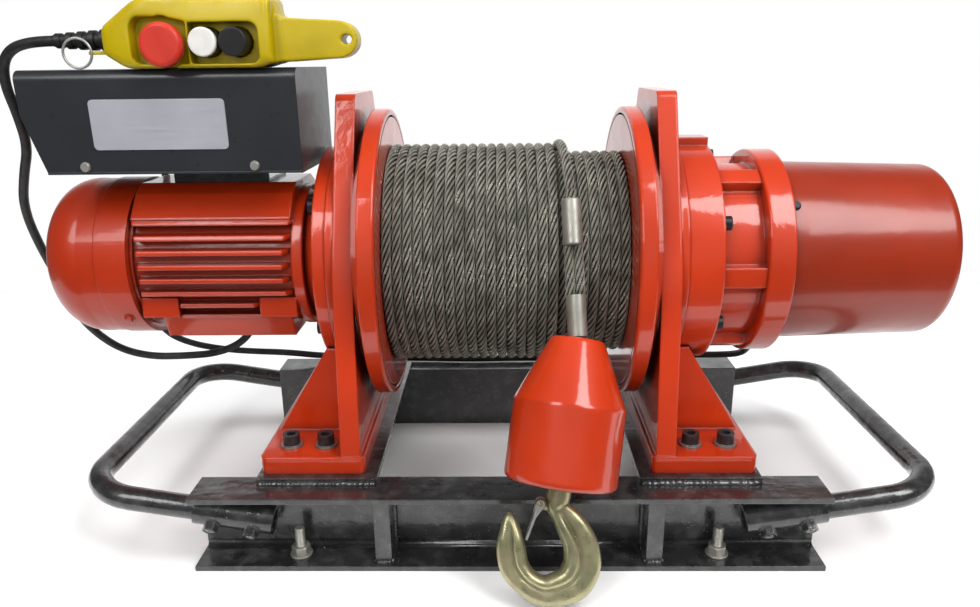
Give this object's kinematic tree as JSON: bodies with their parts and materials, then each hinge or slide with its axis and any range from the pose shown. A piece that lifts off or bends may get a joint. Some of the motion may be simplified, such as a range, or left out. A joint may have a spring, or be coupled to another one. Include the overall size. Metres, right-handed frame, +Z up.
{
  "type": "electric winch",
  "caption": "Electric winch: a flange motor, planetary gearbox and brake turn a rope drum between cast pillars on a rail base, with handles, control box, pendant and weighted hook.",
  "frame": {"origin": "on the floor, in the middle of the four anchor holes of the rails", "axes": "+X along the drum axis from motor to gearbox, -Y the front where the hook hangs, +Z up"},
  "size_m": [0.9304, 0.4051, 0.503],
  "materials": {
    "red_paint": "glossy orange-red paint on castings and sheet",
    "black_paint": "black semi-gloss paint on rolled steel",
    "grey_paint": "dark grey paint on sheet steel",
    "wire_rope": "greased stranded steel rope",
    "zinc": "bright zinc plated steel",
    "yellow_zinc": "yellow passivated forged steel",
    "black_oxide": "black oxide steel screws",
    "bare_plate": "brushed bare metal plate",
    "machined_steel": "machined steel, oiled",
    "core_iron": "laminated core with varnished windings",
    "yellow_plastic": "moulded yellow plastic",
    "red_plastic": "moulded red plastic",
    "white_plastic": "moulded white plastic",
    "black_plastic": "moulded black plastic",
    "cable_rubber": "dark grey rubber sheath"
  },
  "bodies": {
    "winch": {"left_pillar": "red_paint", "right_pillar": "red_paint", "motor_frame": "red_paint", "motor_front_shield": "red_paint", "motor_rear_shield": "red_paint", "fan_cowl": "red_paint", "gear_housing": "red_paint", "end_cover": "red_paint", "front_rail": "black_paint", "rear_rail": "black_paint", "cross_plates": "black_paint", "left_handle": "black_paint", "right_handle": "black_paint", "handle_sockets": "black_paint", "box_bracket": "black_paint", "control_box_base": "grey_paint", "control_box_cover": "grey_paint", "rope_tail": "wire_rope", "handle_set_screws": "zinc", "panel_screws": "zinc", "split_ring": "zinc", "foot_screws": "black_oxide", "housing_screws": "black_oxide", "motor_screws": "black_oxide", "name_plate": "bare_plate", "bearings": "machined_steel", "ring_gear": "machined_steel", "brake_armature": "machined_steel", "brake_studs": "machined_steel", "motor_stator": "core_iron", "brake_coil": "core_iron", "handset_body": "yellow_plastic", "handset_gland": "black_plastic", "cable_glands": "black_plastic", "contactors": "black_plastic", "pendant_cable": "cable_rubber", "brake_cable": "cable_rubber"},
    "drum": {"drum_barrel": "red_paint", "drum_flanges": "red_paint", "rope_winding": "wire_rope", "output_carrier": "machined_steel"},
    "rotor": {"drive_shaft": "machined_steel", "motor_rotor": "core_iron", "motor_fan": "black_plastic", "brake_disc": "machined_steel"},
    "input_carrier": {"input_carrier": "machined_steel"},
    "hook_line": {"rope_ferrules": "zinc", "eye_rope": "wire_rope", "hook_weight": "red_paint"},
    "hook": {"hook": "yellow_zinc"},
    "latch": {"hook_latch": "zinc"},
    "stop_button": {"stop_button": "red_plastic"},
    "white_button": {"white_button": "white_plastic"},
    "black_button": {"black_button": "black_plastic"},
    "fast_planet_1": {"fast_planet_1": "machined_steel"},
    "slow_planet_1": {"slow_planet_1": "machined_steel"},
    "fast_planet_2": {"fast_planet_2": "machined_steel"},
    "slow_planet_2": {"slow_planet_2": "machined_steel"},
    "fast_planet_3": {"fast_planet_3": "machined_steel"},
    "slow_planet_3": {"slow_planet_3": "machined_steel"}
  },
  "joints": [
    {"name": "drum_spin", "type": "hinge", "parent": "winch", "child": "drum", "pos_m": [0, 0, 0.26], "axis": [1, 0, 0], "continuous": true},
    {"name": "rotor_spin", "type": "hinge", "parent": "winch", "child": "rotor", "pos_m": [0, 0, 0.26], "axis": [1, 0, 0], "continuous": true},
    {"name": "input_carrier_spin", "type": "hinge", "parent": "winch", "child": "input_carrier", "pos_m": [0, 0, 0.26], "axis": [1, 0, 0], "continuous": true},
    {"name": "fast_planet_1_spin", "type": "hinge", "parent": "input_carrier", "child": "fast_planet_1", "pos_m": [0.226, 0.045, 0.26], "axis": [1, 0, 0], "continuous": true},
    {"name": "slow_planet_1_spin", "type": "hinge", "parent": "drum", "child": "slow_planet_1", "pos_m": [0.192, 0.045, 0.26], "axis": [1, 0, 0], "continuous": true},
    {"name": "fast_planet_2_spin", "type": "hinge", "parent": "input_carrier", "child": "fast_planet_2", "pos_m": [0.226, -0.0225, 0.29897], "axis": [1, 0, 0], "continuous": true},
    {"name": "slow_planet_2_spin", "type": "hinge", "parent": "drum", "child": "slow_planet_2", "pos_m": [0.192, -0.0225, 0.29897], "axis": [1, 0, 0], "continuous": true},
    {"name": "fast_planet_3_spin", "type": "hinge", "parent": "input_carrier", "child": "fast_planet_3", "pos_m": [0.226, -0.0225, 0.22103], "axis": [1, 0, 0], "continuous": true},
    {"name": "slow_planet_3_spin", "type": "hinge", "parent": "drum", "child": "slow_planet_3", "pos_m": [0.192, -0.0225, 0.22103], "axis": [1, 0, 0], "continuous": true},
    {"name": "line_swing", "type": "hinge", "parent": "winch", "child": "hook_line", "pos_m": [0.05724, -0.08775, 0.33633], "axis": [-1, 0, 0], "range_deg": [0, 70]},
    {"name": "hook_swivel", "type": "hinge", "parent": "hook_line", "child": "hook", "pos_m": [0.04432, -0.18805, 0.10005], "axis": [0.1392, 0.3869, 0.9115], "continuous": true},
    {"name": "latch_hinge", "type": "hinge", "parent": "hook", "child": "latch", "pos_m": [0.02752, -0.19431, 0.0853], "axis": [0, -0.9205, 0.3907], "range_deg": [0, 30], "stiffness_Nm_per_rad": 0.2, "springref_deg": -11.46},
    {"name": "stop_press", "type": "slide", "parent": "winch", "child": "stop_button", "axis": [0, 1, 0], "range_m": [0, 0.004], "stiffness_N_per_m": 400, "springref_m": -0.002},
    {"name": "white_press", "type": "slide", "parent": "winch", "child": "white_button", "axis": [0, 1, 0], "range_m": [0, 0.0035], "stiffness_N_per_m": 400, "springref_m": -0.002},
    {"name": "black_press", "type": "slide", "parent": "winch", "child": "black_button", "axis": [0, 1, 0], "range_m": [0, 0.0035], "stiffness_N_per_m": 400, "springref_m": -0.002}
  ],
  "couplings": [
    {"joint": "rotor_spin", "follows": "drum_spin", "ratio": 36},
    {"joint": "input_carrier_spin", "follows": "drum_spin", "ratio": 6},
    {"joint": "fast_planet_1_spin", "follows": "drum_spin", "ratio": -15},
    {"joint": "slow_planet_1_spin", "follows": "drum_spin", "ratio": -2.5},
    {"joint": "fast_planet_2_spin", "follows": "drum_spin", "ratio": -15},
    {"joint": "slow_planet_2_spin", "follows": "drum_spin", "ratio": -2.5},
    {"joint": "fast_planet_3_spin", "follows": "drum_spin", "ratio": -15},
    {"joint": "slow_planet_3_spin", "follows": "drum_spin", "ratio": -2.5}
  ]
}
